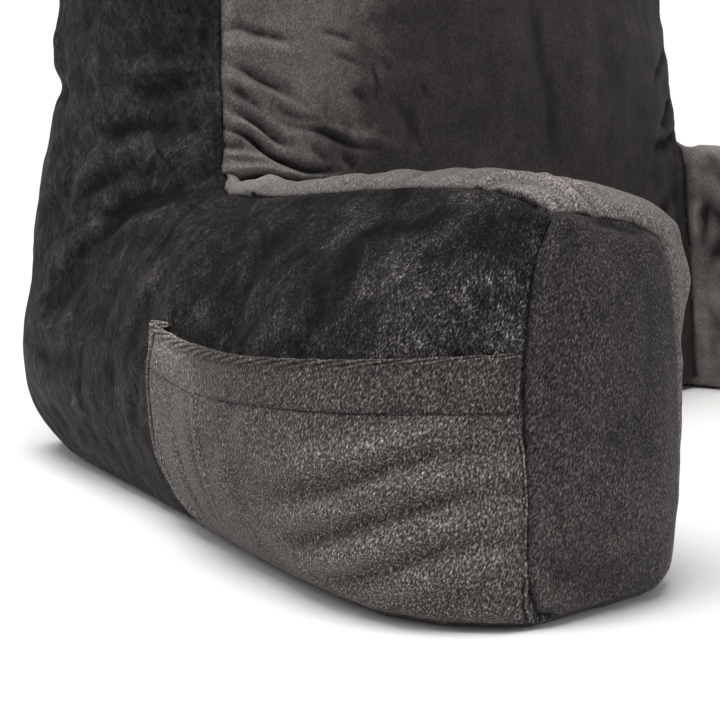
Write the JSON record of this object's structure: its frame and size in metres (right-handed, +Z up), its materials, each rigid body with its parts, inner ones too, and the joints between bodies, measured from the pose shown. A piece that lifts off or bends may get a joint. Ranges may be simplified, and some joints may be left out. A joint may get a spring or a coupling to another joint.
{
  "type": "reading pillow",
  "caption": "Upright stuffed reading pillow in dark plush, with an arm on each side to rest elbows on and a patch pocket on the outside of one arm.",
  "frame": {"origin": "middle of the backrest's base, on the surface that the pillow stands on", "axes": "+Z up, +X to the right arm, -Y forwards along the arms, towards the person who sits in it"},
  "size_m": [0.7244, 0.4958, 0.476],
  "materials": {
    "face_plush": "short-pile plush, brushed",
    "arm_plush": "short-pile plush, brushed",
    "side_plush": "short-pile plush, crushed in places",
    "end_plush": "short-pile plush, brushed",
    "pocket_plush": "short-pile plush, brushed"
  },
  "bodies": {
    "root": {"backrest": "face_plush", "arm_left": "arm_plush", "arm_right": "arm_plush", "side_panel_left": "side_plush", "side_panel_right": "side_plush", "top_band": "side_plush", "arm_end_left": "end_plush", "arm_end_right": "end_plush", "pocket": "pocket_plush"}
  },
  "joints": []
}
